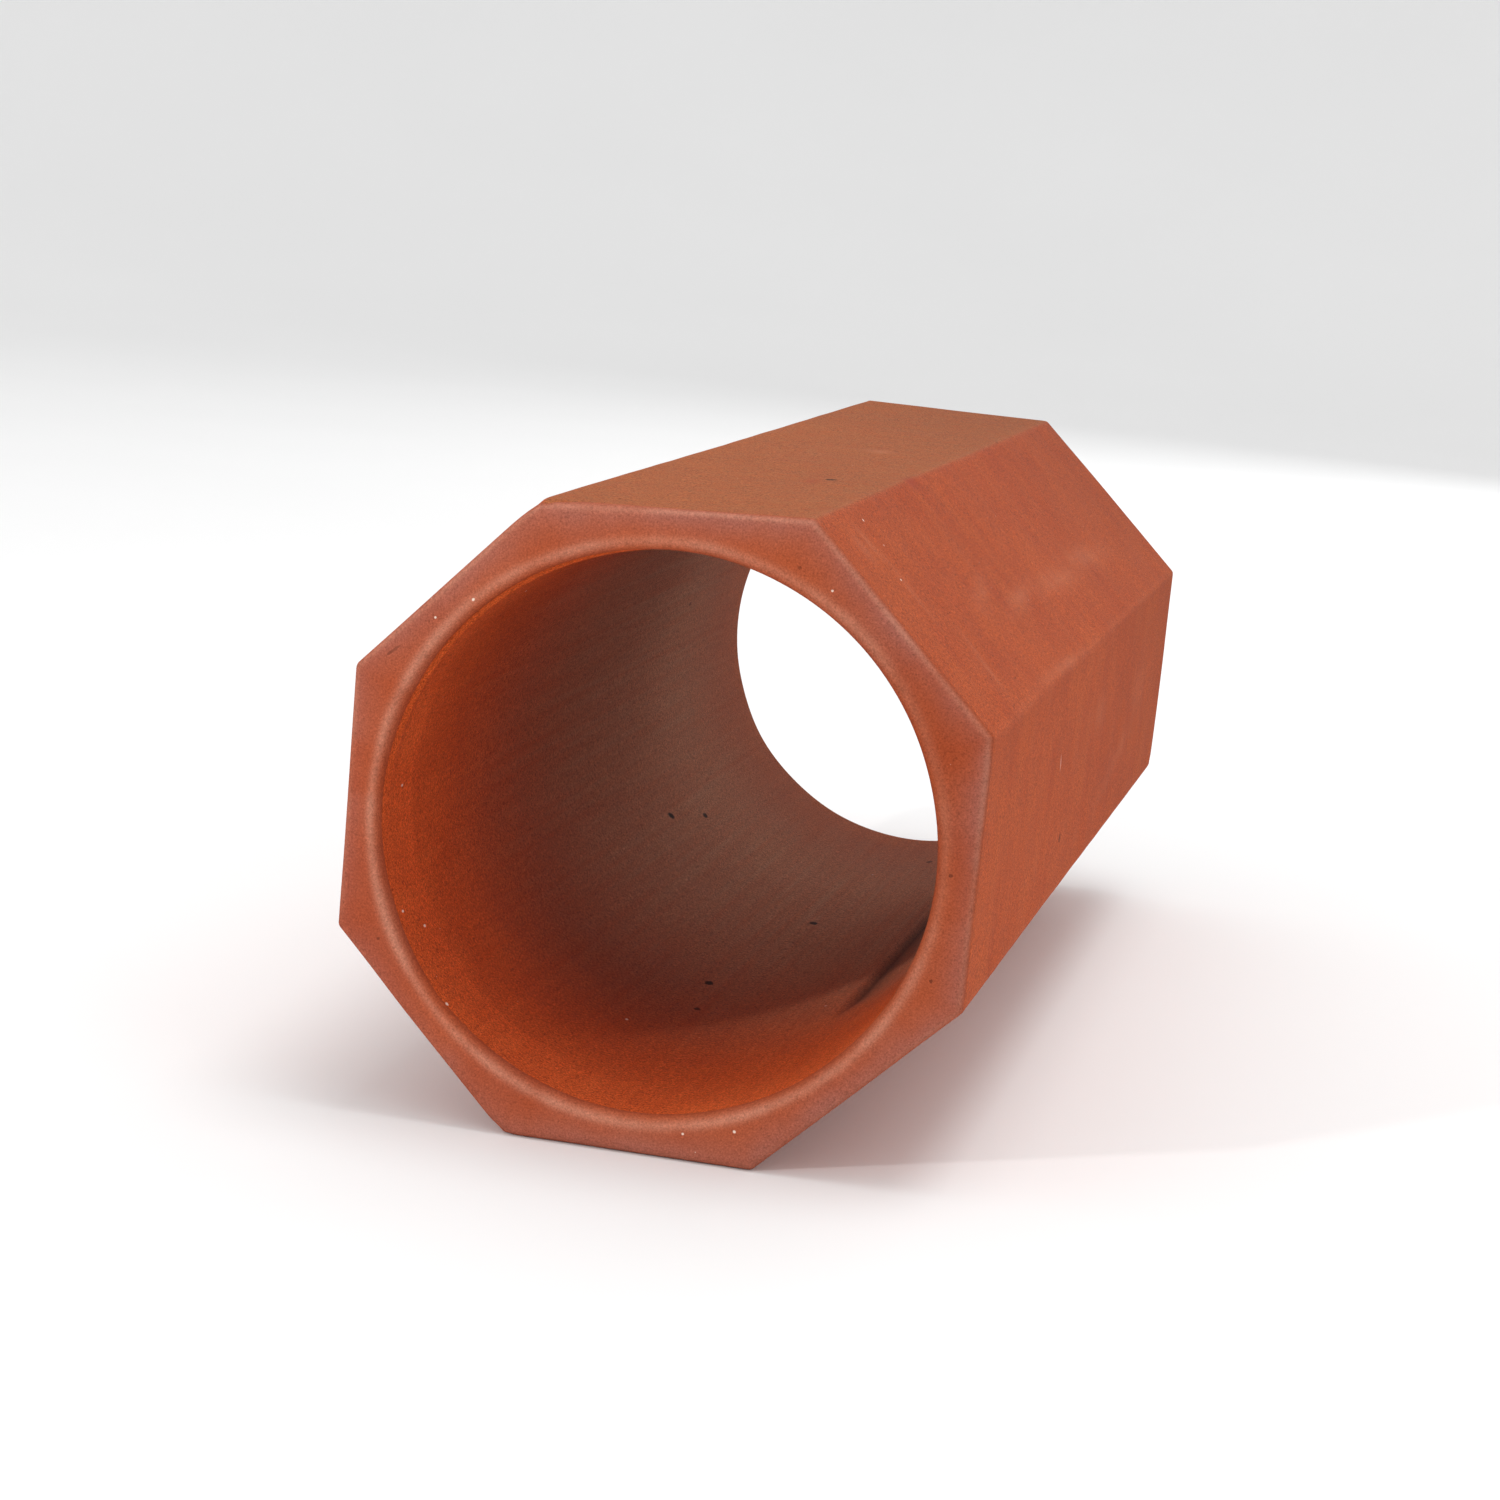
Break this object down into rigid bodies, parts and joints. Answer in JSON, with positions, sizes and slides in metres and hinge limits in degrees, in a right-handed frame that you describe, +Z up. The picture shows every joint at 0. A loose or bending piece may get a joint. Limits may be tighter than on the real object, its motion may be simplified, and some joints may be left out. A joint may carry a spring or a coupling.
{
  "type": "octagonal clay tube",
  "caption": "Stacking tube of fired, unglazed clay with eight flat sides, rounded end edges and a round bore open at both ends.",
  "frame": {"origin": "middle of the flat that the tube rests on, at the bottom centre of its box", "axes": "+Y along the bore from the front mouth to the back mouth, +Z up, square to the resting flat, +X to the right seen from the front mouth"},
  "size_m": [0.12, 0.3, 0.12],
  "materials": {
    "fired_clay": "matt, unglazed, fine-grained terracotta with lime specks and small pits"
  },
  "bodies": {
    "root": {"clay_tube": "fired_clay"}
  },
  "joints": []
}
